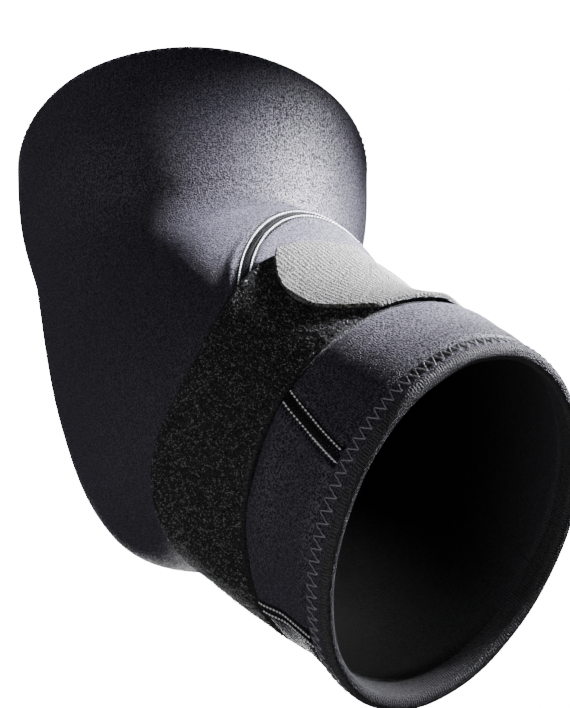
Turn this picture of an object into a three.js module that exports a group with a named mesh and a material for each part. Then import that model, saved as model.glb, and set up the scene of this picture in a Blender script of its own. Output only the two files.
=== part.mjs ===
// Elbow brace: a neoprene sleeve worn on a bent elbow, with a pile strap round the forearm and a hook tab.
// Millimetres, +Z up along the upper arm, the elbow point at the origin, the crook of the elbow towards +X
// and the outer side of the arm, where the strap's tab ends, towards -Y.
import * as THREE from "three";
import { mergeVertices } from "three/addons/utils/BufferGeometryUtils.js";

// Driving dimensions of the arm that the sleeve is worn on.
const FOREARM_LENGTH = 124; // elbow point to the hand-side mouth
const UPPER_LENGTH = 65.5; // elbow point to the shoulder-side mouth
const ELBOW_ANGLE = 136.5; // degrees between the upper arm and the forearm
const BEND_RADIUS = 58; // of the middle line through the elbow
const GIRTH_RADIUS = 46; // half the sleeve's thickness that the sections are shares of

// The cloth and its edges.
const WALL = 3;
const PIECE_GAP = 0.3; // between pieces that are sewn or pressed together
const UPPER_HEM_WIDTH = 9; // turned in at the shoulder-side mouth
const UPPER_HEM_THICKNESS = 1.6;
const BINDING_WIDTH = 6.5; // folded over the hand-side mouth
const BINDING_THICKNESS = 0.8;
const PINCH = 0.9; // how far the binding presses into each face of the wall
const EDGE_ROUNDING = 0.9; // taken off a cut edge, on each face
const ROUND_SIDES = 52; // facets in one turn round the arm

// The panel let into the front of the forearm, with its round top in the crook.
const PANEL_LENGTH = 99; // from the hand-side mouth
const PANEL_HALF_ANGLE = 92; // degrees round the forearm at the mouth
const PANEL_TAPER = 1.5; // power of the curve from the mouth to the round top

// The strap and its tab. Angles are degrees round the forearm from the crook towards the outer side.
const STRAP_WIDTH = 40;
const STRAP_THICKNESS = 1.5;
const STRAP_FROM_MOUTH = 27; // its hand-side edge, from the hand-side mouth
const STRAP_START = 20;
const STRAP_END = 283;
const TAB_THICKNESS = 1.1;
const TAB_START = -96;
const TAB_SHOULDER = 44; // where its rounded tongue begins
const TAB_END = 55;

// Sections of the sleeve's outside at even steps from the hand-side mouth to the shoulder-side mouth:
// its reach from the middle line to the crook side, to the elbow's point side and sideways, as shares of
// GIRTH_RADIUS.
const SECTIONS = [
  { crook: 0.9, point: 1.0, side: 0.78 },
  { crook: 0.94, point: 0.96, side: 0.84 },
  { crook: 0.86, point: 0.98, side: 0.89 },
  { crook: 0.92, point: 0.98, side: 0.94 },
  { crook: 0.98, point: 1.03, side: 0.94 },
  { crook: 0.97, point: 1.01, side: 0.885 },
  { crook: 0.98, point: 1.0, side: 0.95 },
  { crook: 1.03, point: 1.1, side: 1.11 },
  { crook: 1.07, point: 1.13, side: 1.16 },
];

// The strap's two edges at even steps round the forearm, from the crook towards the outer side: each one's
// place past STRAP_FROM_MOUTH as a share of STRAP_WIDTH.
const STRAP_EDGES = [
  { hand: 0.1, elbow: 1.07 },
  { hand: 0.07, elbow: 1.13 },
  { hand: 0.05, elbow: 0.85 },
  { hand: 0.0, elbow: 0.99 },
  { hand: -0.03, elbow: 1.0 },
  { hand: -0.01, elbow: 1.0 },
  { hand: 0.07, elbow: 1.02 },
  { hand: 0.19, elbow: 1.04 },
];

// Swellings under the cloth: the place along the middle line as a share of its length, the angle round the
// arm from the crook towards the outer side, the height as a share of GIRTH_RADIUS, the half length as a
// share of the middle line and the half width in degrees.
const SWELLINGS = [
  { name: "elbow point", along: 0.52, around: 180, height: 0.17, length: 0.108, width: 38 },
  { name: "forearm muscle", along: 0.574, around: -27, height: 0.09, length: 0.092, width: 59 },
];

// How the mouths lean: towards the crook and towards the outer side, in degrees, over the reach given as a
// share of the middle line.
const MOUTH_LEAN_REACH = 0.27;
const HAND_LEAN = { crook: 7, outer: -1.5 };
const SHOULDER_LEAN = { crook: 3, outer: -1.5 };

const FULL_TURN = 2 * Math.PI;
const rad = THREE.MathUtils.degToRad;
const bend = Math.PI - rad(ELBOW_ANGLE);
const bendCut = BEND_RADIUS * Math.tan(bend / 2);
const forearmRun = FOREARM_LENGTH - bendCut;
const bendRun = BEND_RADIUS * bend;
const middleLine = forearmRun + bendRun + UPPER_LENGTH - bendCut;

// The middle line and its direction at a distance from the hand-side mouth.
const toHand = new THREE.Vector3(Math.sin(rad(ELBOW_ANGLE)), 0, Math.cos(rad(ELBOW_ANGLE)));
const forearmNormal = new THREE.Vector3(-toHand.z, 0, toHand.x);
const bendCentre = toHand
  .clone()
  .multiplyScalar(bendCut)
  .addScaledVector(forearmNormal, BEND_RADIUS);

function middle(along) {
  if (along < forearmRun) {
    return {
      place: toHand.clone().multiplyScalar(FOREARM_LENGTH - along),
      direction: toHand.clone().negate(),
    };
  }
  if (along > forearmRun + bendRun) {
    return {
      place: new THREE.Vector3(0, 0, bendCut + along - forearmRun - bendRun),
      direction: new THREE.Vector3(0, 0, 1),
    };
  }
  const turned = (along - forearmRun) / BEND_RADIUS;
  return {
    place: bendCentre
      .clone()
      .addScaledVector(forearmNormal, -BEND_RADIUS * Math.cos(turned))
      .addScaledVector(toHand, -BEND_RADIUS * Math.sin(turned)),
    direction: toHand
      .clone()
      .multiplyScalar(-Math.cos(turned))
      .addScaledVector(forearmNormal, Math.sin(turned)),
  };
}

// A table's value at a share of the way from one row to the next, on a smooth curve through its rows.
function curve(value, row, share) {
  const rise = value(row + 1) - value(row);
  const slopeIn = (value(row + 1) - value(row - 1)) / 2;
  const slopeOut = (value(row + 2) - value(row)) / 2;
  const sway = slopeIn + slopeOut - 2 * rise;
  return value(row) + share * (slopeIn + share * (rise - slopeIn - sway + share * sway));
}

// One column of the section table at a place along the sleeve.
function reach(column, along) {
  const last = SECTIONS.length - 1;
  const at = THREE.MathUtils.clamp(along / middleLine, 0, 1) * last;
  const row = Math.min(Math.floor(at), last - 1);
  const value = (i) => {
    if (i < 0) return 2 * SECTIONS[0][column] - SECTIONS[1][column];
    if (i > last) return 2 * SECTIONS[last][column] - SECTIONS[last - 1][column];
    return SECTIONS[i][column];
  };
  return GIRTH_RADIUS * curve(value, row, at - row);
}

function swelling(along, around) {
  let height = 0;
  for (const swell of SWELLINGS) {
    const turn = THREE.MathUtils.euclideanModulo(around - rad(swell.around) + Math.PI, FULL_TURN) - Math.PI;
    const lengthwise = (along / middleLine - swell.along) / swell.length;
    const sideways = turn / rad(swell.width);
    height += swell.height * GIRTH_RADIUS * Math.exp(-(lengthwise ** 2) - sideways ** 2);
  }
  return height;
}

// A point of the sleeve: the distance along its middle line, the angle round it from the crook towards the
// outer side, and the lift off its outside.
function onSleeve(along, around, lift = 0) {
  const inside = THREE.MathUtils.clamp(along, 0, middleLine);
  const { place, direction } = middle(inside);
  const toCrook = new THREE.Vector3(direction.z, 0, -direction.x);
  const cos = Math.cos(around);
  const sin = Math.sin(around);
  const proud = swelling(inside, around) + lift;
  const crookward = cos * (reach(cos > 0 ? "crook" : "point", inside) + proud);
  const outward = sin * (reach("side", inside) + proud);
  const handShare = Math.max(0, 1 - inside / middleLine / MOUTH_LEAN_REACH) ** 2;
  const shoulderShare = Math.max(0, 1 - (1 - inside / middleLine) / MOUTH_LEAN_REACH) ** 2;
  const lean = ({ crook, outer }) => crookward * Math.tan(rad(crook)) + outward * Math.tan(rad(outer));
  const slide = along - inside + handShare * lean(HAND_LEAN) + shoulderShare * lean(SHOULDER_LEAN);
  return place
    .addScaledVector(toCrook, crookward)
    .addScaledVector(new THREE.Vector3(0, -1, 0), outward)
    .addScaledVector(direction, slide);
}

// Sheets of cloth

// Even steps from one value to another, both included.
function steps(from, to, count) {
  return Array.from({ length: count + 1 }, (_, i) => from + ((to - from) * i) / count);
}

function eased(value, from, to) {
  return THREE.MathUtils.smoothstep(value, from, to);
}

// The triangles over a grid of points, facing the side from which its rows run to the right of its columns.
function face(grid) {
  const columns = grid[0].length;
  const faces = [];
  for (let i = 0; i < grid.length - 1; i++) {
    for (let j = 0; j < columns - 1; j++) {
      const corner = i * columns + j;
      faces.push(corner, corner + columns + 1, corner + columns);
      faces.push(corner, corner + 1, corner + columns + 1);
    }
  }
  return { positions: grid.flat().flatMap((point) => point.toArray()), faces };
}

// One closed body from faces that share their edges. Triangles that have collapsed are dropped.
function closed(parts) {
  const positions = [];
  const faces = [];
  for (const part of parts) {
    const start = positions.length / 3;
    positions.push(...part.positions);
    faces.push(...part.faces.map((index) => index + start));
  }
  const loose = new THREE.BufferGeometry();
  loose.setAttribute("position", new THREE.Float32BufferAttribute(positions, 3));
  loose.setIndex(faces);
  const merged = mergeVertices(loose, 1e-3);
  const index = merged.index.array;
  const kept = [];
  for (let i = 0; i < index.length; i += 3) {
    const [a, b, c] = [index[i], index[i + 1], index[i + 2]];
    if (a !== b && b !== c && c !== a) kept.push(a, b, c);
  }
  merged.setIndex(kept);
  merged.computeVertexNormals();
  return merged;
}

// A sheet between an outer and an inner grid of points, whose rows run along the sleeve and whose columns
// run round it. Its first sideRows rows are open at the sides, and the others close after a full turn.
function sheet(outer, inner, sideRows) {
  const last = outer.length - 1;
  const side = (column) => [inner, outer].map((grid) => grid.slice(0, sideRows).map((row) => row[column]));
  const parts = [
    face(outer.map((row) => [...row].reverse())),
    face(inner),
    face([outer[0], inner[0]]),
    face([inner[last], outer[last]]),
  ];
  if (sideRows > 0) {
    parts.push(face(side(0)));
    parts.push(face(side(outer[0].length - 1).reverse()));
  }
  return closed(parts);
}

// The same sheet from rows that each give a place along the sleeve and their first and last angle.
function panel(rows, columns, lifts) {
  const grid = (which) =>
    rows.map(({ along, from, to }) =>
      steps(from, to, columns).map((around) => onSleeve(along, around, lifts(along)[which])),
    );
  const open = rows.filter(({ from, to }) => to - from < FULL_TURN - 1e-6).length;
  return sheet(grid("outer"), grid("inner"), open === 0 ? 0 : Math.min(open + 1, rows.length));
}

// The main panel and the forearm panel

const wallStart = BINDING_THICKNESS + 2 * PIECE_GAP;

// The lifts of the wall's two faces: pressed in under the binding, and doubled where the upper hem is
// turned in, with a rounded edge.
function wallLifts(along) {
  const pinch = PINCH * (1 - eased(along, BINDING_WIDTH + PIECE_GAP, BINDING_WIDTH + PIECE_GAP + PINCH));
  const hem = middleLine - UPPER_HEM_WIDTH;
  const turned = UPPER_HEM_THICKNESS * eased(along, hem, hem + WALL / 2);
  const rounding = EDGE_ROUNDING * eased(along, middleLine - EDGE_ROUNDING, middleLine);
  return { outer: -pinch - rounding, inner: -WALL + pinch - turned + rounding };
}

// Half the angle that the forearm panel takes at a place along the sleeve, less an inset all round.
function panelHalfAngle(along, inset) {
  const share = along / (PANEL_LENGTH - inset);
  return (rad(PANEL_HALF_ANGLE) - inset / GIRTH_RADIUS) * Math.sqrt(Math.max(0, 1 - share ** PANEL_TAPER));
}

// Places along the forearm, closer together where the panel's top turns over, with those of the binding.
function panelPlaces(inset) {
  const edge = BINDING_WIDTH + PIECE_GAP;
  const top = PANEL_LENGTH - inset;
  const from = edge + PINCH;
  const run = steps(0, Math.PI / 2, 14).map((turned) => from + (top - from) * Math.sin(turned));
  return [wallStart, edge, ...run];
}

function sleeveBody() {
  const beside = panelPlaces(0).map((along) => {
    const half = panelHalfAngle(along, 0);
    return { along, from: half, to: FULL_TURN - half };
  });
  const hem = middleLine - UPPER_HEM_WIDTH;
  const above = [
    ...steps(PANEL_LENGTH, hem, 10).slice(1),
    hem + WALL / 2,
    middleLine - EDGE_ROUNDING,
    middleLine - EDGE_ROUNDING / 2,
    middleLine,
  ].map((along) => ({ along, from: 0, to: FULL_TURN }));
  return panel([...beside, ...above], ROUND_SIDES, wallLifts);
}

function forearmPanel() {
  const rows = panelPlaces(PIECE_GAP).map((along) => {
    const half = panelHalfAngle(along, PIECE_GAP);
    return { along, from: -half, to: half };
  });
  return panel(rows, ROUND_SIDES / 2, wallLifts);
}

// The binding folded over the hand-side mouth: a leaf on each face of the wall and a round nose between.
function forearmHem() {
  const outside = -PINCH + PIECE_GAP + BINDING_THICKNESS;
  const inside = -WALL - outside;
  const nose = (outside - inside) / 2;
  const arc = steps(90, 270, 6).map((angle) => [
    nose + nose * Math.cos(rad(angle)),
    (outside + inside) / 2 + nose * Math.sin(rad(angle)),
  ]);
  const slot = wallStart - PIECE_GAP;
  const section = [
    [slot, outside - BINDING_THICKNESS],
    [slot, inside + BINDING_THICKNESS],
    [BINDING_WIDTH, inside + BINDING_THICKNESS],
    [BINDING_WIDTH, inside],
    ...arc.reverse(),
    [BINDING_WIDTH, outside],
    [BINDING_WIDTH, outside - BINDING_THICKNESS],
  ];
  const loops = steps(0, FULL_TURN, ROUND_SIDES).map((around) =>
    [...section, section[0]].map(([along, lift]) => onSleeve(along, around, lift)),
  );
  return closed([face(loops)]);
}

// The strap and its tab

function strapEdge(column, around) {
  const count = STRAP_EDGES.length;
  const at = THREE.MathUtils.euclideanModulo(around / FULL_TURN, 1) * count;
  const value = (i) => STRAP_EDGES[(i + count) % count][column];
  return STRAP_FROM_MOUTH + STRAP_WIDTH * curve(value, Math.floor(at), at - Math.floor(at));
}

// A strip across the forearm: places between its two edges at each angle, and the lifts of its faces there.
function strip(angles, edges, lifts, columns) {
  const grid = (which) =>
    angles.map((around) => {
      const { hand, elbow } = edges(around);
      return steps(elbow, hand, columns).map((along) => onSleeve(along, around, lifts(around)[which]));
    });
  return sheet(grid("outer"), grid("inner"), angles.length);
}

function strapBand() {
  const edges = (around) => ({ hand: strapEdge("hand", around), elbow: strapEdge("elbow", around) });
  const lifts = () => ({ inner: PIECE_GAP, outer: PIECE_GAP + STRAP_THICKNESS });
  return strip(steps(rad(STRAP_START), rad(STRAP_END), ROUND_SIDES), edges, lifts, 4);
}

// The tab lies on the strap at both of its ends, and is drawn down to the sleeve between them.
function tabLifts(around) {
  const overStart = eased(around, rad(STRAP_START - 14), rad(STRAP_START - 2));
  const overEnd = 1 - eased(around, rad(STRAP_END - 360 + 2), rad(STRAP_END - 360 + 14));
  const inner = PIECE_GAP + (STRAP_THICKNESS + PIECE_GAP) * Math.max(overStart, overEnd);
  return { inner, outer: inner + TAB_THICKNESS };
}

function tabEdges(around) {
  const hand = strapEdge("hand", around);
  const elbow = strapEdge("elbow", around);
  const past = (around - rad(TAB_SHOULDER)) / rad(TAB_END - TAB_SHOULDER);
  const open = past > 0 ? Math.sqrt(Math.max(0, 1 - past)) : 1;
  const centre = (hand + elbow) / 2;
  const half = ((elbow - hand) / 2) * open;
  return { hand: centre - half, elbow: centre + half };
}

function strapTab() {
  const tongue = steps(0, 1, 7).map((share) => {
    const turned = Math.sin((share * Math.PI) / 2);
    return rad(TAB_SHOULDER + (TAB_END - TAB_SHOULDER) * turned);
  });
  const angles = [...steps(rad(TAB_START), rad(TAB_SHOULDER), 26).slice(0, -1), ...tongue];
  return strip(angles, tabEdges, tabLifts, 6);
}

const neoprene = new THREE.MeshStandardMaterial({ color: 0x17161c, roughness: 0.75, metalness: 0 });
const binding = new THREE.MeshStandardMaterial({ color: 0x131317, roughness: 0.7, metalness: 0 });
const pile = new THREE.MeshStandardMaterial({ color: 0x0c0c0e, roughness: 0.95, metalness: 0 });
const hookTape = new THREE.MeshStandardMaterial({ color: 0x8f8c8a, roughness: 0.85, metalness: 0 });

const brace = new THREE.Group();
const pieces = [
  { name: "sleeve_body", geometry: sleeveBody(), material: neoprene },
  { name: "forearm_panel", geometry: forearmPanel(), material: neoprene },
  { name: "forearm_hem", geometry: forearmHem(), material: binding },
  { name: "strap_band", geometry: strapBand(), material: pile },
  { name: "strap_tab", geometry: strapTab(), material: hookTape },
];
for (const { name, geometry, material } of pieces) {
  const piece = new THREE.Mesh(geometry, material);
  piece.name = name;
  brace.add(piece);
}

export default brace;
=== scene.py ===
import bmesh
import bpy
import numpy as np
from mathutils import Matrix, Vector


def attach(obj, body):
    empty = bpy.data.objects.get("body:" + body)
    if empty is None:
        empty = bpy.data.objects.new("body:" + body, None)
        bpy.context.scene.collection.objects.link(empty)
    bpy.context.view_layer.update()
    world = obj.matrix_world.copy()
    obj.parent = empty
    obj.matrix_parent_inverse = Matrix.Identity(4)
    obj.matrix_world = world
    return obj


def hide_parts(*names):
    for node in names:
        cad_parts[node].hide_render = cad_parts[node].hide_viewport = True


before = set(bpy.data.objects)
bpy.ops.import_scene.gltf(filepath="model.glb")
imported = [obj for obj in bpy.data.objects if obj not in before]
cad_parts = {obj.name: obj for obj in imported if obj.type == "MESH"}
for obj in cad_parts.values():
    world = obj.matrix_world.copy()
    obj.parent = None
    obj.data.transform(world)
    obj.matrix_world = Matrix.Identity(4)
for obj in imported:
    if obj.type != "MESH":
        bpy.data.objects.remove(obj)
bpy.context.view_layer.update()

# The view
# The camera looks up at the bent elbow from its outer side, below the forearm, as in the photo.
# Its place is in millimetres in the part's own frame, and its framing is that of a 570 by 708 picture.
MM = 0.001
VIEW_AZIMUTH = np.radians(41.7)
VIEW_ELEVATION = np.radians(-34.5)
VIEW_ROLL = np.radians(-1.6)
VIEW_DISTANCE = 525.1
VIEW_SHIFT = (24.6, -1.9)
NEAREST_SEEN = 10
FOCAL_PIXELS = 1889.5
PICTURE_HEIGHT = 708
SENSOR = 36

to_camera = np.array(
    [
        np.sin(VIEW_AZIMUTH) * np.cos(VIEW_ELEVATION),
        -np.cos(VIEW_AZIMUTH) * np.cos(VIEW_ELEVATION),
        np.sin(VIEW_ELEVATION),
    ]
)
level = np.array([np.cos(VIEW_AZIMUTH), np.sin(VIEW_AZIMUTH), 0])
upright = np.cross(to_camera, level)
camera_right = level * np.cos(VIEW_ROLL) + upright * np.sin(VIEW_ROLL)
camera_up = upright * np.cos(VIEW_ROLL) - level * np.sin(VIEW_ROLL)
camera_place = camera_right * VIEW_SHIFT[0] + camera_up * VIEW_SHIFT[1] + to_camera * VIEW_DISTANCE

camera_data = bpy.data.cameras.new("camera")
camera_data.sensor_width = SENSOR
camera_data.lens = FOCAL_PIXELS * SENSOR / PICTURE_HEIGHT
camera_data.clip_start = NEAREST_SEEN * MM
camera = bpy.data.objects.new("camera", camera_data)
bpy.context.scene.collection.objects.link(camera)
camera.matrix_world = Matrix.Translation(Vector(camera_place * MM)) @ Matrix(
    np.array([camera_right, camera_up, to_camera]).T.tolist()
).to_4x4()
bpy.context.scene.camera = camera

# The form of the sleeve
# The brace keeps its worn, bent form, so every piece of cloth is laid on one surface: a middle line from the
# hand-side mouth to the shoulder-side mouth, sections along it and two swellings under the cloth.
FOREARM_LENGTH = 124
UPPER_LENGTH = 65.5
ELBOW_ANGLE = np.radians(136.5)
BEND_RADIUS = 58
GIRTH_RADIUS = 46
SECTIONS = {
    "crook": (0.9, 0.94, 0.86, 0.92, 0.98, 0.97, 0.98, 1.03, 1.07),
    "point": (1.0, 0.96, 0.98, 0.98, 1.03, 1.01, 1.0, 1.1, 1.13),
    "side": (0.78, 0.84, 0.89, 0.94, 0.94, 0.885, 0.95, 1.11, 1.16),
}
SWELLINGS = (
    {"along": 0.52, "around": 180, "height": 0.17, "length": 0.108, "width": 38},
    {"along": 0.574, "around": -27, "height": 0.09, "length": 0.092, "width": 59},
)
MOUTH_LEAN_REACH = 0.27
HAND_LEAN = {"crook": 7, "outer": -1.5}
SHOULDER_LEAN = {"crook": 3, "outer": -1.5}

bend = np.pi - ELBOW_ANGLE
bend_cut = BEND_RADIUS * np.tan(bend / 2)
forearm_run = FOREARM_LENGTH - bend_cut
bend_run = BEND_RADIUS * bend
middle_line = forearm_run + bend_run + UPPER_LENGTH - bend_cut
to_hand = np.array([np.sin(ELBOW_ANGLE), 0, np.cos(ELBOW_ANGLE)])
forearm_normal = np.array([-to_hand[2], 0, to_hand[0]])
upper_axis = np.array([0, 0, 1])
outer_side = np.array([0, -1, 0])


def middle(along):
    """Points of the middle line and its directions there."""
    turned = np.clip((along - forearm_run) / BEND_RADIUS, 0, bend)[:, None]
    before = np.clip(forearm_run - along, 0, None)[:, None]
    after = np.clip(along - forearm_run - bend_run, 0, None)[:, None]
    centre = to_hand * bend_cut + forearm_normal * BEND_RADIUS
    place = centre - BEND_RADIUS * (forearm_normal * np.cos(turned) + to_hand * np.sin(turned))
    direction = forearm_normal * np.sin(turned) - to_hand * np.cos(turned)
    return place + to_hand * before + upper_axis * after, direction


def smooth_between(before, start, end, after, share):
    """The value at a share of the way from start to end, on a smooth curve through all four."""
    slope_in = (end - before) / 2
    slope_out = (after - start) / 2
    rise = end - start
    sway = slope_in + slope_out - 2 * rise
    return start + share * (slope_in + share * (rise - slope_in - sway + share * sway))


def smooth_rows(values, at):
    """A table's column at places counted in rows, on a smooth curve through its rows."""
    padded = np.concatenate([[2 * values[0] - values[1]], values, [2 * values[-1] - values[-2]]])
    row = np.clip(np.floor(at).astype(int), 0, len(values) - 2)
    return smooth_between(*(padded[row + i] for i in range(4)), at - row)


def turn_from(around, centre):
    return (around - centre + np.pi) % (2 * np.pi) - np.pi


def swelling(along, around):
    height = np.zeros_like(along)
    for swell in SWELLINGS:
        lengthwise = (along / middle_line - swell["along"]) / swell["length"]
        sideways = turn_from(around, np.radians(swell["around"])) / np.radians(swell["width"])
        height += swell["height"] * GIRTH_RADIUS * np.exp(-(lengthwise**2) - sideways**2)
    return height


def on_sleeve(along, around, lift=0.0):
    """Points on the sleeve, in metres: distance along its middle line, angle from the crook towards the
    outer side, and lift off its outside, in millimetres."""
    numbers = (np.asarray(value, float) for value in (along, around, lift))
    along, around, lift = np.broadcast_arrays(*numbers)
    inside = np.clip(along, 0, middle_line)
    place, direction = middle(inside)
    to_crook = np.stack([direction[:, 2], np.zeros_like(inside), -direction[:, 0]], axis=1)
    at = inside / middle_line * (len(SECTIONS["side"]) - 1)
    crook, point, side = (GIRTH_RADIUS * smooth_rows(np.array(SECTIONS[name]), at) for name in SECTIONS)
    proud = swelling(inside, around) + lift
    crookward = np.cos(around) * (np.where(np.cos(around) > 0, crook, point) + proud)
    outward = np.sin(around) * (side + proud)
    slide = along - inside
    for share, lean in ((inside / middle_line, HAND_LEAN), (1 - inside / middle_line, SHOULDER_LEAN)):
        fade = np.clip(1 - share / MOUTH_LEAN_REACH, 0, None) ** 2
        crook_lean, outer_lean = (np.tan(np.radians(lean[side_name])) for side_name in ("crook", "outer"))
        slide = slide + fade * (crookward * crook_lean + outward * outer_lean)
    beside_line = place + to_crook * crookward[:, None] + outer_side * outward[:, None]
    return (beside_line + direction * slide[:, None]) * MM


# The main panel
# One piece of 3 mm neoprene faced with black knit, closed into a tube above and round the elbow, with a
# tongue cut out at the front of its hand-side half. It dips at its sewn edges, its upper mouth is turned in
# as an edge-stitched hem, and it swells beside the strap that is closed over it.
WALL = 3
BINDING_THICKNESS = 0.8
PIECE_GAP = 0.3
PANEL_LENGTH = 99
PANEL_HALF_ANGLE = np.radians(92)
PANEL_TAPER = 1.5
BINDING_WIDTH = 6.5
PINCH = 0.9
PINCH_STEP = 2.5
UPPER_HEM_WIDTH = 9
UPPER_HEM_THICKNESS = 1.6
UPPER_HEM_STEP = 1.5
LIP_ROUNDING = 2.1
EDGE_STITCH_FROM_LIP = 1.6
EDGE_STITCH_DIP = {"depth": 0.4, "width": 0.6}
SEAM_DIP = {"depth": 1.0, "width": 0.95}
SEAM_SWELL = {"height": 0.35, "width": 1.5, "off": 3.6}
STRAP_WIDTH = 40
STRAP_FROM_MOUTH = 27
STRAP_EDGES = {
    "hand": (0.1, 0.07, 0.05, 0.0, -0.03, -0.01, 0.07, 0.19),
    "elbow": (1.07, 1.13, 0.85, 0.99, 1.0, 1.0, 1.02, 1.04),
}
STRAP_SWELL = {"height": 1.2, "rise": (0.1, 1.3), "fall": (1.6, 10)}
BROAD_RIPPLE = {"height": 0.14, "turns": 3, "length": 7.1, "sway": 2.2, "sway_turns": 2, "drift": 19}
FINE_RIPPLE = {"height": 0.08, "turns": 5, "length": 8.3, "drift": 13}
SHARPEST_FOLD = np.radians(50)
MERGED_WITHIN = 2e-6
BODY_CELLS = (200, 170)
BODY_ROWS = {"beside_panel": 0.6, "above_panel": 0.4}
BODY_CROWDING = {"rows": 0.75, "columns": 0.72}
HAIR = 1e-6
wall_start = BINDING_THICKNESS + 2 * PIECE_GAP


def eased(value, start, end):
    """0 before start and 1 past end, with a soft step between them."""
    share = np.clip((value - start) / (end - start), 0, 1)
    return share * share * (3 - 2 * share)


def mound(distance, width):
    """1 at no distance, falling softly to nothing over about twice the width."""
    return np.exp(-((distance / width) ** 2))


def strap_edge(column, around):
    """How far along the sleeve an edge of the strap lies, at each angle round it."""
    values = np.array(STRAP_EDGES[column])
    at = (around / (2 * np.pi) % 1) * len(values)
    row = np.floor(at).astype(int)
    neighbours = (values[(row + i) % len(values)] for i in (-1, 0, 1, 2))
    return STRAP_FROM_MOUTH + STRAP_WIDTH * smooth_between(*neighbours, at - row)


def off_seam(along, around):
    """Distance from the seam round the forearm panel, negative inside the panel."""
    share = np.clip(along, 1, None) / PANEL_LENGTH
    angle = np.abs(turn_from(around, 0)) / PANEL_HALF_ANGLE
    slope_along = PANEL_TAPER * share ** (PANEL_TAPER - 1) / PANEL_LENGTH
    slope_around = 2 * angle / PANEL_HALF_ANGLE / GIRTH_RADIUS
    return (angle**2 + share**PANEL_TAPER - 1) / np.hypot(slope_along, slope_around)


def panel_half_angle(along, inset):
    share = np.clip(along / (PANEL_LENGTH - inset), 0, 1)
    return (PANEL_HALF_ANGLE - inset / GIRTH_RADIUS) * np.sqrt(1 - share**PANEL_TAPER)


def beside_strap(along, around):
    """How far the cloth swells where the strap's hand-side edge presses into it."""
    past = strap_edge("hand", around) - along
    rise = STRAP_SWELL["height"] * eased(past, *STRAP_SWELL["rise"])
    return rise * (1 - eased(past, *STRAP_SWELL["fall"]))


def broad_ripple(along, around):
    sway = BROAD_RIPPLE["sway"] * np.sin(around * BROAD_RIPPLE["sway_turns"])
    lengthwise = np.sin(along / BROAD_RIPPLE["length"] + sway)
    crosswise = np.sin(BROAD_RIPPLE["turns"] * around + along / BROAD_RIPPLE["drift"])
    return BROAD_RIPPLE["height"] * lengthwise * crosswise


def fine_ripple(along, around):
    slanting = np.sin(FINE_RIPPLE["turns"] * around - along / FINE_RIPPLE["length"])
    return FINE_RIPPLE["height"] * slanting * np.sin(along / FINE_RIPPLE["drift"] + 1)


def neoprene_faces(along, around):
    """Lifts of the neoprene's outside and inside."""
    pinch = PINCH * (1 - eased(along, BINDING_WIDTH, BINDING_WIDTH + PINCH_STEP))
    hem_edge = middle_line - UPPER_HEM_WIDTH
    hem = UPPER_HEM_THICKNESS * eased(along, hem_edge, hem_edge + UPPER_HEM_STEP)
    over_lip = np.clip((along - middle_line) / LIP_ROUNDING + 1, 0, 1)
    rounding = LIP_ROUNDING * (1 - np.sqrt(1 - over_lip**2))
    off = np.abs(off_seam(along, around))
    off_edge_stitch = along - middle_line + EDGE_STITCH_FROM_LIP
    relief = SEAM_SWELL["height"] * mound(off - SEAM_SWELL["off"], SEAM_SWELL["width"])
    relief -= SEAM_DIP["depth"] * mound(off, SEAM_DIP["width"])
    relief -= EDGE_STITCH_DIP["depth"] * mound(off_edge_stitch, EDGE_STITCH_DIP["width"])
    relief += beside_strap(along, around)
    relief += broad_ripple(along, around)
    relief += fine_ripple(along, around)
    return relief - pinch - rounding, -WALL + pinch - hem + rounding


def crowded(shares, pull):
    """Shares from 0 to 1 drawn towards both ends, so that the cells there are finer."""
    return shares - pull * np.sin(2 * np.pi * shares) / (2 * np.pi)


def map_cloth(cloth, round_run, long_run):
    """Gives a bmesh a UV map of each corner's run round and along the cloth, in millimetres."""
    cloth_map = cloth.loops.layers.uv.new("cloth")
    cloth.verts.index_update()
    for face in cloth.faces:
        for corner in face.loops:
            i = corner.vert.index
            corner[cloth_map].uv = (round_run[i], long_run[i])
    return cloth_map


def lay_sheet(places, cells, faces):
    """A sheet of cloth with its wall. places turns shares across and along the sheet into places along and
    round the sleeve, and faces gives the lifts of its two sides there. Its outer face has the first
    material, and its edges and inner face the second."""
    cloth = bmesh.new()
    bmesh.ops.create_grid(cloth, x_segments=cells[0], y_segments=cells[1], size=0.5)
    shares = np.array([vertex.co[:2] for vertex in cloth.verts]) + 0.5
    along, around = places(shares[:, 0], shares[:, 1])
    map_cloth(cloth, around * GIRTH_RADIUS, along)
    along_layer = cloth.verts.layers.float.new("along")
    around_layer = cloth.verts.layers.float.new("around")
    outside = on_sleeve(along, around, faces(along, around)[0])
    for vertex, place, vertex_along, vertex_around in zip(cloth.verts, outside, along, around):
        vertex.co = place
        vertex[along_layer] = vertex_along
        vertex[around_layer] = vertex_around
    bmesh.ops.remove_doubles(cloth, verts=cloth.verts, dist=MERGED_WITHIN)
    outer_faces = cloth.faces[:]
    wall = bmesh.ops.extrude_face_region(cloth, geom=outer_faces, use_keep_orig=True)
    for face in cloth.faces:
        face.material_index = 1
    for face in outer_faces:
        face.material_index = 0
    inner = [part for part in wall["geom"] if isinstance(part, bmesh.types.BMVert)]
    along = np.array([vertex[along_layer] for vertex in inner])
    around = np.array([vertex[around_layer] for vertex in inner])
    for vertex, place in zip(inner, on_sleeve(along, around, faces(along, around)[1])):
        vertex.co = place
    bmesh.ops.recalc_face_normals(cloth, faces=cloth.faces)
    return cloth


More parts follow.
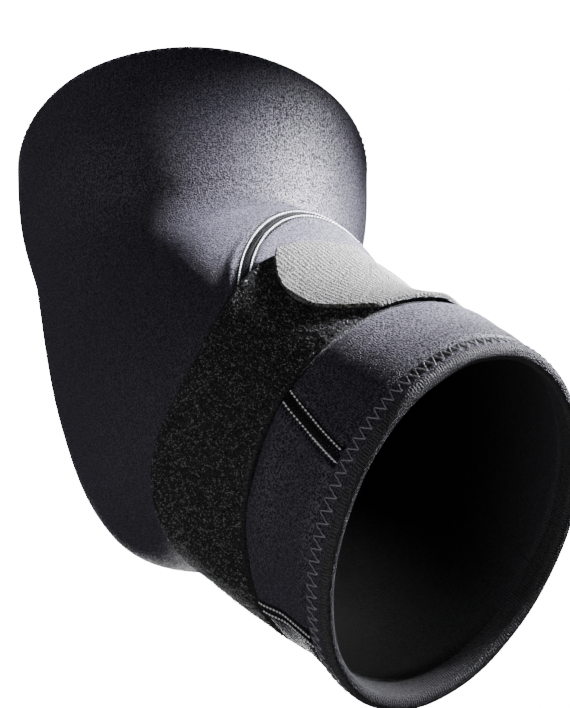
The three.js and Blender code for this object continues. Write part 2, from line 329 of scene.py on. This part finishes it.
def finished(name, solid, *materials):
    """The finished piece of a bmesh, riding on the brace."""
    mesh = bpy.data.meshes.new(name)
    solid.to_mesh(mesh)
    solid.free()
    mesh.shade_smooth()
    mesh.set_sharp_from_angle(angle=SHARPEST_FOLD)
    for material in materials:
        mesh.materials.append(material)
    piece = bpy.data.objects.new(name, mesh)
    bpy.context.scene.collection.objects.link(piece)
    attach(piece, "root")
    return piece


KNIT_INPUTS = {
    "Base": "Color",
    "Wale pitch": "Float",
    "Course pitch": "Float",
    "Grain": "Float",
    "Relief": "Float",
    "Roughness": "Float",
    "Contrast": "Float",
    "Shine": "Float",
}
KNIT_OUTPUTS = {"Colour": "Color", "Roughness": "Float", "Normal": "Vector", "Shine": "Float"}
SHADER_SOCKETS = {
    "Colour": "Base Color",
    "Roughness": "Roughness",
    "Normal": "Normal",
    "Shine": "Coat Weight",
}
WALE_WANDER = {"scale": 90.0, "detail": 2.0, "reach": 2.0}
COURSE_SWAY = 1.6
LOOP_SHARES = {"wale": 0.6, "course": 0.4}
LOOP_HEIGHT = 0.4
GRAIN = {"scale": 2200.0, "detail": 2.0, "roughness": 0.6, "middle": 0.5}
DARKEST_SHADE = 0.12
GRAIN_SMOOTHING = -0.12
SMOOTHEST = 0.25
GLINT = {"contrast": 1.6, "middle": 0.5}
SHINE_ROUGHNESS = 0.6
FULL_CONTRAST = 1


def add_node(tree, kind, values, **settings):
    """A node with its settings and the values of its inputs. A value that is a socket is linked."""
    made = tree.nodes.new(kind)
    for setting, value in settings.items():
        setattr(made, setting, value)
    for socket, value in values.items():
        if isinstance(value, bpy.types.NodeSocket):
            tree.links.new(value, made.inputs[socket])
        else:
            made.inputs[socket].default_value = value
    return made


def calculate(tree, operation, *values):
    return add_node(tree, "ShaderNodeMath", dict(enumerate(values)), operation=operation).outputs[0]


def knit_effect():
    """The face of a knit: wales that wander a little, courses of loops across them and a grain over both.
    Each thread's height darkens its colour as painted shade, deepest in the dips between the loops, and its
    grain makes it glint."""
    group = bpy.data.node_groups.new("knit", "ShaderNodeTree")
    for way, sockets in (("INPUT", KNIT_INPUTS), ("OUTPUT", KNIT_OUTPUTS)):
        for label, kind in sockets.items():
            group.interface.new_socket(label, in_out=way, socket_type="NodeSocket" + kind)
    given = group.nodes.new("NodeGroupInput").outputs
    cloth_map = add_node(group, "ShaderNodeUVMap", {}, uv_map="cloth").outputs["UV"]
    run = add_node(group, "ShaderNodeSeparateXYZ", {0: cloth_map}).outputs
    place = add_node(group, "ShaderNodeTexCoord", {}).outputs["Object"]
    broad_noise = {"Vector": place, "Scale": WALE_WANDER["scale"], "Detail": WALE_WANDER["detail"]}
    wander = add_node(group, "ShaderNodeTexNoise", broad_noise).outputs["Fac"]
    across = calculate(group, "MULTIPLY_ADD", wander, WALE_WANDER["reach"], run["X"])
    wales = calculate(group, "DIVIDE", across, given["Wale pitch"])
    wale = calculate(group, "SINE", calculate(group, "MULTIPLY", wales, 2 * np.pi))
    courses = calculate(group, "DIVIDE", run["Y"], given["Course pitch"])
    course_turn = calculate(group, "MULTIPLY", courses, 2 * np.pi)
    sway = calculate(group, "MULTIPLY", wale, COURSE_SWAY)
    course = calculate(group, "SINE", calculate(group, "ADD", course_turn, sway))
    wale_part = calculate(group, "MULTIPLY", wale, LOOP_SHARES["wale"])
    course_part = calculate(group, "MULTIPLY", course, LOOP_SHARES["course"])
    loops = calculate(group, "ADD", wale_part, course_part)
    fine_noise = {"Vector": place, "Scale": GRAIN["scale"], "Detail": GRAIN["detail"]}
    fine_noise["Roughness"] = GRAIN["roughness"]
    fine = add_node(group, "ShaderNodeTexNoise", fine_noise).outputs["Fac"]
    off_middle = calculate(group, "SUBTRACT", fine, GRAIN["middle"])
    grain = calculate(group, "MULTIPLY", off_middle, given["Grain"])
    height = calculate(group, "ADD", calculate(group, "MULTIPLY", loops, LOOP_HEIGHT), grain)
    raised = {"Strength": 1.0, "Distance": given["Relief"], "Height": height}
    bump = add_node(group, "ShaderNodeBump", raised)
    # Painted shade: the colour darkens where the knit's height is low.
    shading = calculate(group, "MULTIPLY_ADD", height, given["Contrast"], 1.0)
    lightness = {0: given["Base"], "Scale": calculate(group, "MAXIMUM", shading, DARKEST_SHADE)}
    shade = add_node(group, "ShaderNodeVectorMath", lightness, operation="SCALE")
    rough = calculate(group, "MULTIPLY_ADD", grain, GRAIN_SMOOTHING, given["Roughness"])
    glint = calculate(group, "MULTIPLY_ADD", grain, GLINT["contrast"], GLINT["middle"])
    kept_glint = add_node(group, "ShaderNodeClamp", {"Value": glint}).outputs[0]
    results = {
        "Colour": shade.outputs[0],
        "Roughness": calculate(group, "MAXIMUM", rough, SMOOTHEST),
        "Normal": bump.outputs["Normal"],
        "Shine": calculate(group, "MULTIPLY", kept_glint, given["Shine"]),
    }
    out = group.nodes.new("NodeGroupOutput")
    for label, result in results.items():
        group.links.new(result, out.inputs[label])
    return group


knit = knit_effect()


def knit_material(name, values, **constants):
    """A material of the knit effect, with the shader's own constants."""
    material = bpy.data.materials.new(name)
    material.use_nodes = True
    tree = material.node_tree
    shader = tree.nodes["Principled BSDF"]
    effect = tree.nodes.new("ShaderNodeGroup")
    effect.node_tree = knit
    effect.inputs["Contrast"].default_value = FULL_CONTRAST
    for label, value in values.items():
        effect.inputs[label].default_value = value
    for label, socket in SHADER_SOCKETS.items():
        tree.links.new(effect.outputs[label], shader.inputs[socket])
    shader.inputs["Coat Roughness"].default_value = SHINE_ROUGHNESS
    for label, value in constants.items():
        shader.inputs[label.replace("_", " ")].default_value = value
    return material


lining = knit_material(
    "jersey_lining",
    {
        "Base": (0.02, 0.02, 0.024, 1),
        "Wale pitch": 0.8,
        "Course pitch": 0.8,
        "Grain": 3.0,
        "Relief": 0.0001,
        "Roughness": 0.75,
    },
)
neoprene = knit_material(
    "neoprene_knit",
    {
        "Base": (0.029, 0.0255, 0.038, 1),
        "Wale pitch": 0.62,
        "Course pitch": 0.7,
        "Grain": 8.0,
        "Relief": 0.0003,
        "Roughness": 0.65,
        "Contrast": 1.6,
        "Shine": 1.0,
    },
    Sheen_Weight=0.1,
    Sheen_Roughness=0.4,
    Sheen_Tint=(0.75, 0.72, 1, 1),
    Specular_IOR_Level=0.2,
    Specular_Tint=(0.97, 0.93, 1, 1),
)


def body_places(across, length):
    """The main panel's rows run to the top of the tongue and then on to the upper mouth."""
    up_tongue = np.clip(length / BODY_ROWS["beside_panel"], 0, 1)
    below = wall_start + (PANEL_LENGTH - wall_start) * np.sin(up_tongue * np.pi / 2)
    over_tongue = np.clip((length - BODY_ROWS["beside_panel"]) / BODY_ROWS["above_panel"], 0, 1)
    above = PANEL_LENGTH + (middle_line - PANEL_LENGTH) * crowded(over_tongue, BODY_CROWDING["rows"])
    along = np.where(length < BODY_ROWS["beside_panel"] - HAIR, below, above)
    half = panel_half_angle(along, 0)
    return along, half + (2 * np.pi - 2 * half) * crowded(across, BODY_CROWDING["columns"])


sleeve_body = finished("sleeve_cloth", lay_sheet(body_places, BODY_CELLS, neoprene_faces), neoprene, lining)
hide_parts("sleeve_body")

# The forearm panel
# The tongue of the same neoprene let into the front of the forearm, with its round top in the crook of the
# elbow. Its edge is butted against the main panel's.
PANEL_JOINT = 0.12
PANEL_CELLS = (120, 200)
PANEL_CROWDING = 0.6


def panel_places(across, length):
    along = wall_start + (PANEL_LENGTH - PANEL_JOINT - wall_start) * np.sin(length * np.pi / 2)
    half = panel_half_angle(along, PANEL_JOINT)
    return along, half * (2 * crowded(across, PANEL_CROWDING) - 1)


panel_cloth = lay_sheet(panel_places, PANEL_CELLS, neoprene_faces)
forearm_panel = finished("forearm_cloth", panel_cloth, neoprene, lining)
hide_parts("forearm_panel")

# The seams
# Flat seams of two white needle rows over the butted edges, with black looper threads that fill the channel
# between the rows and cross beside them. One runs round the forearm panel, and one closes the main panel
# below the forearm. A stitch's rows are shares of its length, lifts off the cloth and shares of the radius.
SEAM_ROWS = (-1.45, 1.45)
SEAM_POINTS = 1200
SEAM_UNDER_BINDING = 0.4
CLOSING_SEAM = {"mouth": (6.8, 150.2), "strap": (46, 157.5)}
CLOSING_SEAM_POINTS = 200
STITCH_PITCH = 1.15
STITCH_SHARE = 0.5
THREAD_RADIUS = 0.25
LOOPER_RADIUS = 0.17
LOOPER_REACH = (0.45, 1.45)
CHANNEL_REACH = 1.85
NEEDLE_STITCH = ((0, -0.35, 0.55), (0.25, 0.28, 1), (0.75, 0.28, 1), (1, -0.35, 0.55))
LOOPER_STITCH = ((0, -0.2, 0.8), (0.5, 0.25, 1), (1, 0.0, 0.8))
CHANNEL_STITCH = ((0, 0.02, 1.4), (0.2, -0.06, 1.7), (0.5, -0.5, 1.7), (0.8, -0.06, 1.7), (1, 0.02, 1.4))
YARN = {"scale": 3200.0, "detail": 2.0, "relief": 0.0001, "bump": 0.8}
YARN_SHADES = {"range": 0.7, "darkest": 0.62}
YARN_ROUGHNESS_RANGE = 0.2


def spaced(path, pitch):
    """A path of places along and round the sleeve, at an even pitch over the cloth."""
    points = on_sleeve(path[:, 0], path[:, 1]) / MM
    run = np.concatenate([[0], np.cumsum(np.linalg.norm(np.diff(points, axis=0), axis=1))])
    at = np.arange(0, run[-1], pitch)
    return np.stack([np.interp(at, run, path[:, 0]), np.interp(at, run, path[:, 1])], axis=1)


def beside(path, off):
    """The same path moved sideways over the cloth, to the left of its run for a positive distance."""
    flat = path * (1, GIRTH_RADIUS)
    run = np.gradient(flat, axis=0)
    run /= np.linalg.norm(run, axis=1)[:, None]
    return (flat + off * np.stack([-run[:, 1], run[:, 0]], axis=1)) / (1, GIRTH_RADIUS)


def stitch(start, end, rows):
    """The strand of one stitch between two places."""
    return np.array([(*(start + (end - start) * share), lift, thickness) for share, lift, thickness in rows])


def needle_row(path, rows, stitch_share):
    """The stitches of one needle row: short lengths that rise out of the cloth and go back into it."""
    return [
        stitch(place, place + (following - place) * stitch_share, rows)
        for place, following in zip(path[:-1], path[1:])
    ]


def threads(name, strands, radius, material, sides=2):
    """Short lengths of thread as one piece. Each strand has rows of (along, around, lift, thickness)."""
    curve = bpy.data.curves.new(name, "CURVE")
    curve.dimensions = "3D"
    curve.bevel_depth = radius * MM
    curve.bevel_resolution = sides - 1
    curve.use_fill_caps = True
    for strand in strands:
        swell = beside_strap(strand[:, 0], strand[:, 1])
        places = on_sleeve(strand[:, 0], strand[:, 1], strand[:, 2] + swell)
        spline = curve.splines.new("POLY")
        spline.points.add(len(places) - 1)
        for point, place, thickness in zip(spline.points, places, strand[:, 3]):
            point.co = (*place, 1)
            point.radius = thickness
    laid = bpy.data.objects.new(name, curve)
    mesh = bpy.data.meshes.new_from_object(laid)
    mesh.name = name
    mesh.shade_smooth()
    mesh.materials.clear()
    mesh.materials.append(material)
    bpy.data.objects.remove(laid)
    bpy.data.curves.remove(curve)
    piece = bpy.data.objects.new(name, mesh)
    bpy.context.scene.collection.objects.link(piece)
    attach(piece, "root")
    return piece


def thread_material(name, colour, roughness, sheen, specular=0.5):
    """Twisted yarn: its shade and roughness vary along its lay."""
    material = bpy.data.materials.new(name)
    material.use_nodes = True
    tree = material.node_tree
    shader = tree.nodes["Principled BSDF"]
    yarn_place = add_node(tree, "ShaderNodeTexCoord", {}).outputs["Object"]
    yarn_noise = {"Vector": yarn_place, "Scale": YARN["scale"], "Detail": YARN["detail"]}
    noise = add_node(tree, "ShaderNodeTexNoise", yarn_noise).outputs["Fac"]
    light = calculate(tree, "MULTIPLY_ADD", noise, YARN_SHADES["range"], YARN_SHADES["darkest"])
    shaded = add_node(tree, "ShaderNodeVectorMath", {0: colour, "Scale": light}, operation="SCALE")
    lay = {"Strength": YARN["bump"], "Distance": YARN["relief"], "Height": noise}
    raised = add_node(tree, "ShaderNodeBump", lay)
    rough = calculate(tree, "MULTIPLY_ADD", noise, YARN_ROUGHNESS_RANGE, roughness)
    tree.links.new(shaded.outputs[0], shader.inputs["Base Color"])
    tree.links.new(rough, shader.inputs["Roughness"])
    tree.links.new(raised.outputs["Normal"], shader.inputs["Normal"])
    shader.inputs["Sheen Weight"].default_value = sheen
    shader.inputs["Specular IOR Level"].default_value = specular
    return material


def panel_seam():
    """The seam round the forearm panel, from the mouth over the crook and back to the mouth."""
    turn = np.radians(np.linspace(-90, 90, SEAM_POINTS))
    along = PANEL_LENGTH * np.cos(turn) ** (2 / PANEL_TAPER)
    path = np.stack([along, PANEL_HALF_ANGLE * np.sin(turn)], axis=1)
    return path[along > BINDING_WIDTH - SEAM_UNDER_BINDING]


def closing_seam():
    start, end = (np.array([along, np.radians(around)]) for along, around in CLOSING_SEAM.values())
    return start + (end - start) * np.linspace(0, 1, CLOSING_SEAM_POINTS)[:, None]


white_thread = thread_material("white_thread", (0.62, 0.62, 0.65), 0.5, 0.05)
black_thread = thread_material("black_thread", (0.006, 0.006, 0.007), 0.7, 0, specular=0.2)

needle_strands = []
looper_strands = []
for seam in (panel_seam(), closing_seam()):
    for off in SEAM_ROWS:
        row = spaced(beside(seam, off), STITCH_PITCH)
        needle_strands += needle_row(row, NEEDLE_STITCH, STITCH_SHARE)
        for side in (-1, 1):
            near, far = (beside(row, side * reach) for reach in LOOPER_REACH)
            looper_strands += [stitch(*ends, LOOPER_STITCH) for ends in zip(near[:-1], far[1:])]
    edges = (spaced(beside(seam, off), STITCH_PITCH / 2) for off in (-CHANNEL_REACH, CHANNEL_REACH))
    looper_strands += [stitch(*ends, CHANNEL_STITCH) for ends in zip(*edges)]
needle_stitches = threads("seam_needle_stitches", needle_strands, THREAD_RADIUS, white_thread)
looper_stitches = threads("seam_looper_threads", looper_strands, LOOPER_RADIUS, black_thread)

# The stitching of the upper hem
# One row of grey-blue thread close below the upper lip, sunk into the cloth, so that it shows as small dots.
LIP_POINTS = 900
LIP_PITCH = 2.9
LIP_STITCH_SHARE = 0.42
LIP_THREAD_RADIUS = 0.26
LIP_STITCH = ((0, -0.9, 0.5), (0.25, -0.33, 1), (0.75, -0.33, 1), (1, -0.9, 0.5))

lip_thread = thread_material("lip_thread", (0.075, 0.085, 0.13), 0.45, 0.3)
lip_along = np.full(LIP_POINTS, middle_line - EDGE_STITCH_FROM_LIP)
lip = np.stack([lip_along, np.linspace(0, 2 * np.pi, LIP_POINTS)], axis=1)
lip_row = needle_row(spaced(lip, LIP_PITCH), LIP_STITCH, LIP_STITCH_SHARE)
lip_stitches = threads("upper_hem_stitches", lip_row, LIP_THREAD_RADIUS, lip_thread)

# The binding
# An elastic tape folded over the hand-side mouth, a leaf on each face of the neoprene and a round nose
# between them. The nose and the inner leaf are ribbed, the outer leaf is faced like the neoprene, and a row
# of grey zigzag stitches holds it.
BINDING_LIFT = 0.2
BINDING_CELLS = 300
BINDING_SAG = {"height": 0.12, "turns": 9, "drift_turns": 4}
LEAF_POINTS = 8
LEAF_FROM_NOSE = 0.4
LEAF_FROM_EDGE = 0.5
LEAF_EDGE_ROUNDING = ((0, -0.35), (-0.12, -0.08))
LEAF_EDGE_FOOT = 0.15
NOSE_POINTS = 15
OUTER_LEAF_RUN = 5.2
ZIGZAG = {"from": 2.6, "to": 6.0, "pitch": 2.5, "radius": 0.2, "girth_share": 0.85}
ZIGZAG_LIFTS = np.array([-0.25, 0.12, 0.14, -0.05, 0.14, 0.12, -0.25])

binding_inside = -WALL - BINDING_LIFT
binding_middle = (BINDING_LIFT + binding_inside) / 2
binding_start = wall_start - PIECE_GAP
nose = (BINDING_LIFT - binding_inside) / 2
nose_turn = np.radians(np.linspace(90, 270, NOSE_POINTS))
outer_leaf = np.linspace(BINDING_WIDTH - LEAF_FROM_EDGE, nose + LEAF_FROM_NOSE, LEAF_POINTS)
inner_leaf = np.linspace(nose + LEAF_FROM_NOSE, BINDING_WIDTH, LEAF_POINTS)
leaf_edge = (BINDING_WIDTH, BINDING_LIFT - BINDING_THICKNESS + LEAF_EDGE_FOOT)
binding_section = np.array(
    [leaf_edge]
    + [(BINDING_WIDTH + along, BINDING_LIFT + lift) for along, lift in LEAF_EDGE_ROUNDING]
    + [(along, BINDING_LIFT) for along in outer_leaf]
    + [(nose + nose * np.cos(turn), binding_middle + nose * np.sin(turn)) for turn in nose_turn]
    + [(along, binding_inside) for along in inner_leaf]
    + [(BINDING_WIDTH, binding_inside + BINDING_THICKNESS)]
    + [(binding_start, binding_inside + BINDING_THICKNESS)]
    + [(binding_start, BINDING_LIFT - BINDING_THICKNESS)]
    + [leaf_edge]
)
section_run = np.concatenate([[0], np.cumsum(np.linalg.norm(np.diff(binding_section, axis=0), axis=1))])


def folded_tape():
    """The tape as a ring of its section, pulled a little unevenly, with the second material on its outer
    leaf."""
    tape = bmesh.new()
    steps = len(binding_section) - 1
    bmesh.ops.create_grid(tape, x_segments=BINDING_CELLS, y_segments=steps, size=0.5)
    shares = np.array([vertex.co[:2] for vertex in tape.verts]) + 0.5
    around = shares[:, 0] * 2 * np.pi
    step = np.rint(shares[:, 1] * steps).astype(int)
    tape_map = map_cloth(tape, around * GIRTH_RADIUS, section_run[step])
    sag = BINDING_SAG["height"] * np.sin(around * BINDING_SAG["turns"])
    sag *= np.sin(around * BINDING_SAG["drift_turns"] + 1)
    places = on_sleeve(binding_section[step, 0], around, binding_section[step, 1] + sag)
    for vertex, place in zip(tape.verts, places):
        vertex.co = place
    bmesh.ops.remove_doubles(tape, verts=tape.verts, dist=MERGED_WITHIN)
    bmesh.ops.recalc_face_normals(tape, faces=tape.faces)
    for face in tape.faces:
        face_run = np.mean([corner[tape_map].uv.y for corner in face.loops])
        face.material_index = 1 if face_run < OUTER_LEAF_RUN else 0
    return tape


def zigzag_rows():
    corners = 2 * int(2 * np.pi * GIRTH_RADIUS * ZIGZAG["girth_share"] / ZIGZAG["pitch"])
    points = len(ZIGZAG_LIFTS)
    strands = []
    for i in range(corners):
        start, end = (ZIGZAG["from"], ZIGZAG["to"]) if i % 2 else (ZIGZAG["to"], ZIGZAG["from"])
        angles = 2 * np.pi * (i + np.linspace(0, 1, points)) / corners
        places = np.linspace(start, end, points)
        strands.append(np.stack([places, angles, BINDING_LIFT + ZIGZAG_LIFTS, np.ones(points)], axis=1))
    return strands


ribbed_tape = knit_material(
    "ribbed_tape",
    {
        "Base": (0.02, 0.019, 0.022, 1),
        "Wale pitch": 0.8,
        "Course pitch": 3.0,
        "Grain": 3.0,
        "Relief": 0.0002,
        "Roughness": 0.62,
        "Contrast": 1.8,
    },
    Sheen_Weight=0.03,
    Sheen_Roughness=0.35,
    Sheen_Tint=(0.8, 0.8, 0.95, 1),
)
binding = finished("mouth_binding", folded_tape(), ribbed_tape, neoprene)
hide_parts("forearm_hem")

grey_thread = thread_material("grey_thread", (0.15, 0.15, 0.16), 0.45, 0.1)
zigzag_stitches = threads("binding_zigzag", zigzag_rows(), ZIGZAG["radius"], grey_thread)

# The strap
# A band of black loop pile round the forearm, lying on the sleeve. Its loops are coloured light grey as a
# painted glint on each loop of the black pile, and its edges are heat-cut to a thin bare line.
STRAP_THICKNESS = 1.5
STRAP_START = 20
STRAP_END = 283
STRAP_CELLS = (44, 300)
STRAP_CROWDING = 0.8
BARE_EDGE = 0.9
BARE_EDGE_STEP = (0.5, 1.6)
STRAP_BULK = {"bare": 0.5, "pile": 0.32}
TUFTS = {"height": 0.16, "along": 2.1, "around": 88}
TUFT_SWAY = {"along": 3, "turns": 13, "around": 2, "pace": 0.9}
LOOPS = 9500
LOOP_SEED = 7
LOOP_MARGIN = 0.003
LOOP_RADIUS = 0.08
PILE_LOOP = {"reach": 0.22, "drop": 0.35, "lowest": 0.82, "range": 0.2}


def band_places(across, length):
    around = np.radians(STRAP_START + (STRAP_END - STRAP_START) * length)
    hand, elbow = strap_edge("hand", around), strap_edge("elbow", around)
    return hand + (elbow - hand) * crowded(across, STRAP_CROWDING), around


def tufts(along, around):
    """Unevenness of the pile, in short rows that sway along and round the strap."""
    lengthwise = np.sin(along * TUFTS["along"] + TUFT_SWAY["along"] * np.sin(around * TUFT_SWAY["turns"]))
    crosswise = np.sin(around * TUFTS["around"] + np.sin(along * TUFT_SWAY["pace"]) * TUFT_SWAY["around"])
    return TUFTS["height"] * lengthwise * crosswise


def band_faces(along, around):
    hand, elbow = strap_edge("hand", around), strap_edge("elbow", around)
    in_from_edge = np.minimum(along - hand, elbow - along)
    pile = eased(in_from_edge, *(BARE_EDGE * share for share in BARE_EDGE_STEP))
    bulk = STRAP_THICKNESS * (STRAP_BULK["bare"] + STRAP_BULK["pile"] * pile)
    return PIECE_GAP + bulk + tufts(along, around) * pile, np.full_like(along, PIECE_GAP)


def pile_loop(at_length, at_width, turned, tall):
    """One loop of the pile, a low arch turned at random."""
    span = LOOP_MARGIN + (1 - 2 * LOOP_MARGIN) * at_length
    around = np.radians(STRAP_START + (STRAP_END - STRAP_START) * span)
    hand, elbow = (float(strap_edge(edge, np.array(around))) for edge in STRAP_EDGES)
    centre = hand + BARE_EDGE + (elbow - hand - 2 * BARE_EDGE) * at_width
    lean = 2 * np.pi * turned
    height = PIECE_GAP + STRAP_THICKNESS * (PILE_LOOP["lowest"] + PILE_LOOP["range"] * tall)
    rows = []
    for side in (-1, 0, 1):
        place = centre + side * PILE_LOOP["reach"] * np.cos(lean)
        angle = around + side * PILE_LOOP["reach"] * np.sin(lean) / GIRTH_RADIUS
        rows.append((place, angle, height - abs(side) * PILE_LOOP["drop"], 1))
    return np.array(rows)


pile = knit_material(
    "loop_pile",
    {
        "Base": (0.011, 0.011, 0.0115, 1),
        "Wale pitch": 1.3,
        "Course pitch": 1.1,
        "Grain": 3.0,
        "Relief": 0.0006,
        "Roughness": 0.8,
        "Contrast": 1.4,
        "Shine": 0.5,
    },
    Specular_IOR_Level=0.25,
)
strap = finished("strap_pile_band", lay_sheet(band_places, STRAP_CELLS, band_faces), pile, ribbed_tape)
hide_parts("strap_band")

chance = np.random.default_rng(LOOP_SEED)
loop_strands = [pile_loop(*draws) for draws in chance.random((LOOPS, 4))]
# Painted glints: the loops are light grey on the black pile.
pile_fibre_painted_glints = thread_material("pile_fibre_painted_glints", (0.17, 0.17, 0.18), 0.4, 0.05)
pile_loops = threads("strap_pile_loops", loop_strands, LOOP_RADIUS, pile_fibre_painted_glints, sides=1)

# The tab
# The light grey end of the strap that closes it: a rounded tongue of hook tape, knitted outside and hooked
# inside, that lies over both ends of the pile band and is drawn down to the sleeve between them.
TAB_THICKNESS = 1.1
TAB_START = -96
TAB_SHOULDER = 44
TAB_END = 55
TAB_CELLS = (70, 190)
TAB_CROWDING = 0.7
TAB_ROWS = {"straight": 0.7, "tongue": 0.3}
TAB_STEP = {"near": 2, "far": 14}
TAB_EDGE = {"side": 1.2, "tip": 1.0, "rounding": 0.75}
TAB_WAVES = (
    {"height": 0.12, "turns": 11, "length": 6},
    {"height": 0.1, "turns": 5, "length": 4.5},
)


def tab_angle(length):
    straight_share = np.clip(length / TAB_ROWS["straight"], 0, 1)
    tongue_share = np.clip((length - TAB_ROWS["straight"]) / TAB_ROWS["tongue"], 0, 1)
    straight = np.radians(TAB_START + (TAB_SHOULDER - TAB_START) * straight_share)
    return straight + np.radians(TAB_END - TAB_SHOULDER) * np.sin(tongue_share * np.pi / 2)


def tab_sides(around):
    """The middle of the tab and half its width, which runs out in the round tongue."""
    hand, elbow = strap_edge("hand", around), strap_edge("elbow", around)
    past = np.clip((around - np.radians(TAB_SHOULDER)) / np.radians(TAB_END - TAB_SHOULDER), 0, 1)
    half = (elbow - hand) / 2 * np.sqrt(1 - past)
    return (hand + elbow) / 2, half


def tab_places(across, length):
    around = tab_angle(length)
    centre, half = tab_sides(around)
    return centre + half * (2 * crowded(across, TAB_CROWDING) - 1), around


def tab_faces(along, around):
    near, far = TAB_STEP["near"], TAB_STEP["far"]
    band_end = STRAP_END - 360
    over_start = eased(around, np.radians(STRAP_START - far), np.radians(STRAP_START - near))
    over_end = 1 - eased(around, np.radians(band_end + near), np.radians(band_end + far))
    inside = PIECE_GAP + (STRAP_THICKNESS + PIECE_GAP) * np.maximum(over_start, over_end)
    centre, half = tab_sides(around)
    past_side = np.clip(1 - (half - np.abs(along - centre)) / TAB_EDGE["side"], 0, 1)
    past_tip = np.clip(1 - (np.radians(TAB_END) - around) * GIRTH_RADIUS / TAB_EDGE["tip"], 0, 1)
    edge = np.maximum(past_side, past_tip)
    rounding = TAB_EDGE["rounding"] * (1 - np.sqrt(1 - edge**2))
    wave = sum(
        wave["height"] * np.sin(around * wave["turns"] + along / wave["length"]) for wave in TAB_WAVES
    )
    return inside + TAB_THICKNESS - rounding + wave * (1 - edge), inside


hook_tape = knit_material(
    "hook_tape",
    {
        "Base": (0.088, 0.085, 0.078, 1),
        "Wale pitch": 1.25,
        "Course pitch": 0.8,
        "Grain": 3.5,
        "Relief": 0.0004,
        "Roughness": 0.7,
        "Contrast": 2.4,
    },
    Sheen_Weight=0.03,
    Specular_IOR_Level=0.2,
)
# Near black on the tab's hooked underside and its edge walls: the dark hooks, and a painted shadow line
# along the tab's edge.
dark_hooks_and_edge_shade = knit_material(
    "dark_hooks_and_edge_shade",
    {
        "Base": (0.012, 0.012, 0.013, 1),
        "Wale pitch": 1.0,
        "Course pitch": 1.0,
        "Grain": 4.0,
        "Relief": 0.0006,
        "Roughness": 0.45,
    },
)
tab = finished("strap_hook_tab", lay_sheet(tab_places, TAB_CELLS, tab_faces), hook_tape, dark_hooks_and_edge_shade)
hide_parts("strap_tab")

# The room
# A plain pale floor well below the held-up brace and a white surround, both only as bright as the camera
# sees them. The key light comes from the upper right of the picture, where the shine on the neoprene is, a
# wide fill from below, and two soft lights for the sides that the picture doesn't show, placed in metres.
FLOOR = {"size": 30, "height": -1.4, "colour": (0.82, 0.82, 0.83, 1), "roughness": 0.8, "glow": 2.6}
WHITE = (1, 1, 1, 1)
SURROUND = {"seen": 20.0, "cast": 0.01}
KEY_LIGHT = {"energy": 98, "colour": (0.92, 0.92, 1), "radius": 0.042, "cone": 33, "blend": 1}
KEY_PLACE = (0.215, 0.079, 0.088)
KEY_AIM = (0.031, -0.007, -0.039)
SOFT_LIGHTS = (
    {"name": "fill_light", "size": 0.9, "energy": 6, "place": (-0.1, -0.9, -0.55)},
    {"name": "back_light", "size": 0.6, "energy": 13, "place": (-0.75, 0.8, 0.35)},
    {"name": "top_light", "size": 0.5, "energy": 9, "place": (-0.35, 0.25, 1.0)},
)
SOFT_AIM = (0.03, 0, -0.02)


def seen_by_camera(tree):
    return tree.nodes.new("ShaderNodeLightPath").outputs["Is Camera Ray"]


def pale_floor():
    material = bpy.data.materials.new("pale_floor")
    material.use_nodes = True
    tree = material.node_tree
    shader = tree.nodes["Principled BSDF"]
    shader.inputs["Base Color"].default_value = FLOOR["colour"]
    shader.inputs["Roughness"].default_value = FLOOR["roughness"]
    shader.inputs["Emission Color"].default_value = WHITE
    glow = calculate(tree, "MULTIPLY", seen_by_camera(tree), FLOOR["glow"])
    tree.links.new(glow, shader.inputs["Emission Strength"])
    return material


def hang_light(light_data, place, aim):
    light = bpy.data.objects.new(light_data.name, light_data)
    towards = (Vector(aim) - Vector(place)).to_track_quat("-Z", "Y")
    light.matrix_world = Matrix.Translation(place) @ towards.to_matrix().to_4x4()
    bpy.context.scene.collection.objects.link(light)


ground = bmesh.new()
bmesh.ops.create_grid(ground, x_segments=2, y_segments=2, size=FLOOR["size"])
bmesh.ops.translate(ground, verts=ground.verts, vec=(0, 0, FLOOR["height"]))
floor_mesh = bpy.data.meshes.new("floor")
ground.to_mesh(floor_mesh)
ground.free()
floor_mesh.materials.append(pale_floor())
floor = bpy.data.objects.new("floor", floor_mesh)
bpy.context.scene.collection.objects.link(floor)

world = bpy.data.worlds.new("white_room")
world.use_nodes = True
surround = world.node_tree.nodes["Background"]
surround.inputs["Color"].default_value = WHITE
camera_ray = seen_by_camera(world.node_tree)
strength = calculate(world.node_tree, "MULTIPLY_ADD", camera_ray, SURROUND["seen"], SURROUND["cast"])
world.node_tree.links.new(strength, surround.inputs["Strength"])
bpy.context.scene.world = world

key_data = bpy.data.lights.new("key_light", "SPOT")
key_data.energy = KEY_LIGHT["energy"]
key_data.color = KEY_LIGHT["colour"]
key_data.shadow_soft_size = KEY_LIGHT["radius"]
key_data.spot_size = np.radians(KEY_LIGHT["cone"])
key_data.spot_blend = KEY_LIGHT["blend"]
hang_light(key_data, KEY_PLACE, KEY_AIM)
for soft in SOFT_LIGHTS:
    soft_data = bpy.data.lights.new(soft["name"], "AREA")
    soft_data.shape = "DISK"
    soft_data.size = soft["size"]
    soft_data.energy = soft["energy"]
    hang_light(soft_data, soft["place"], SOFT_AIM)
